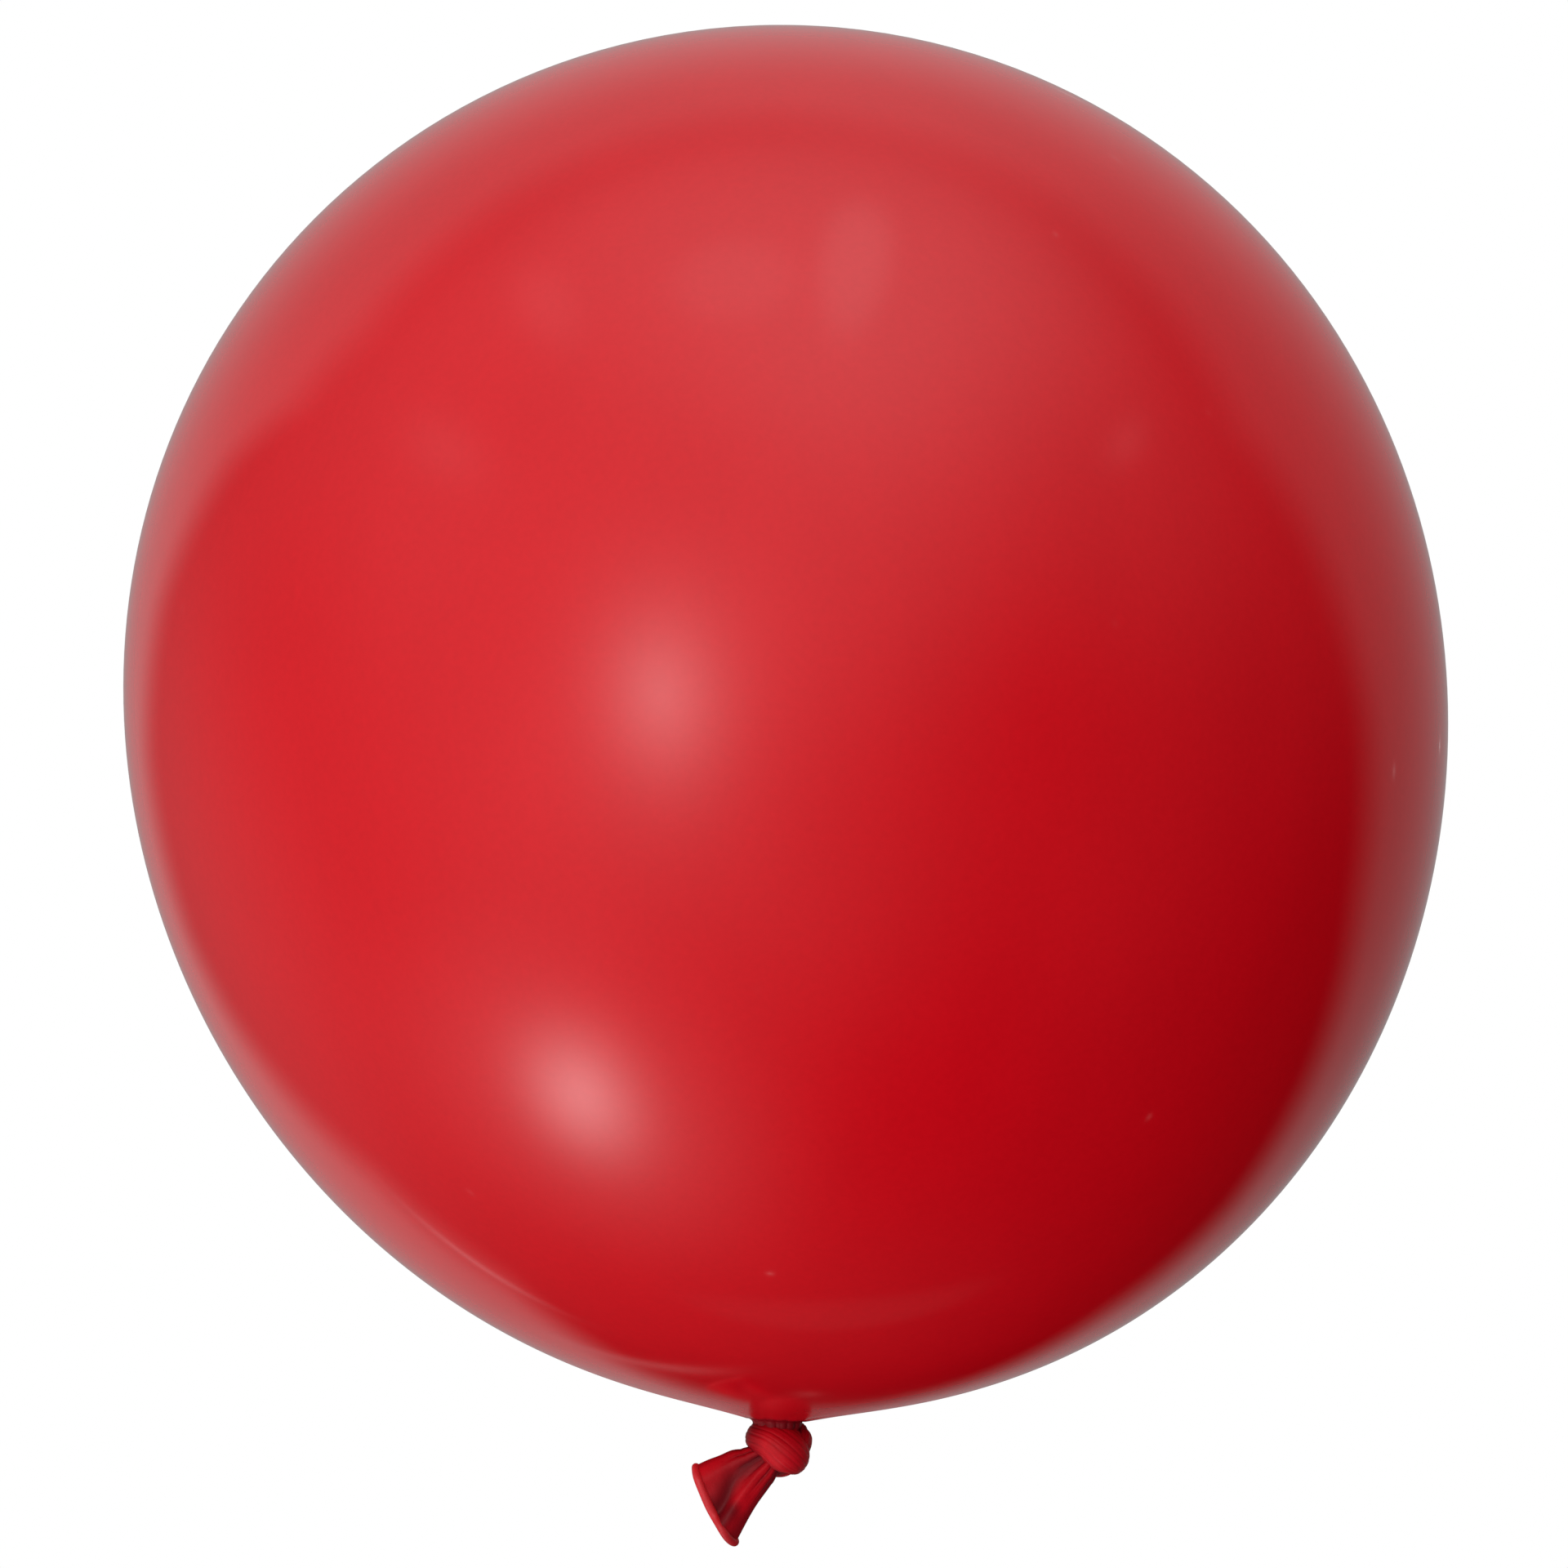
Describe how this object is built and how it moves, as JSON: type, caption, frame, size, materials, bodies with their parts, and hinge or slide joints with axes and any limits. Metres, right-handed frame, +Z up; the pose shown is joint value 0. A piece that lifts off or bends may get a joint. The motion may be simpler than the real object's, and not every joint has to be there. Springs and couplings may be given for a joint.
{
  "type": "latex balloon",
  "caption": "Large round red latex balloon, inflated and tied off with an overhand knot; the flattened neck and its rolled lip hang below the knot.",
  "frame": {"origin": "The waist of the neck, on its axis, where the film is gathered between the balloon's body and the knot. A ribbon is tied there.", "axes": "+Z runs up through the balloon, from the waist towards the crown; +X is away from the side the tail points to; +Y completes the right-handed frame."},
  "size_m": [0.4456, 0.444, 0.5109],
  "materials": {
    "stretched_film": "glossy",
    "neck_film": "satin"
  },
  "bodies": {
    "balloon": {"envelope_film": "stretched_film", "throat_film": "neck_film", "neck_strand": "neck_film"},
    "knot": {"knot_standing_part": "neck_film", "knot_turn": "neck_film", "knot_working_end": "neck_film"},
    "tail": {"tail_root": "neck_film", "tail_film": "neck_film", "rolled_lip": "neck_film"}
  },
  "joints": [
    {"name": "neck_bend", "type": "hinge", "parent": "balloon", "child": "knot", "pos_m": [0, 0, 0], "axis": [0, 1, 0], "range_deg": [-15, 15], "stiffness_Nm_per_rad": 0.004, "deforming": ["neck_strand"]},
    {"name": "tail_flex", "type": "hinge", "parent": "knot", "child": "tail", "pos_m": [-0.0068, -0.002, -0.0166], "axis": [0.6561, 0, -0.7547], "range_deg": [-35, 35], "stiffness_Nm_per_rad": 0.0008, "deforming": ["tail_root"]}
  ]
}
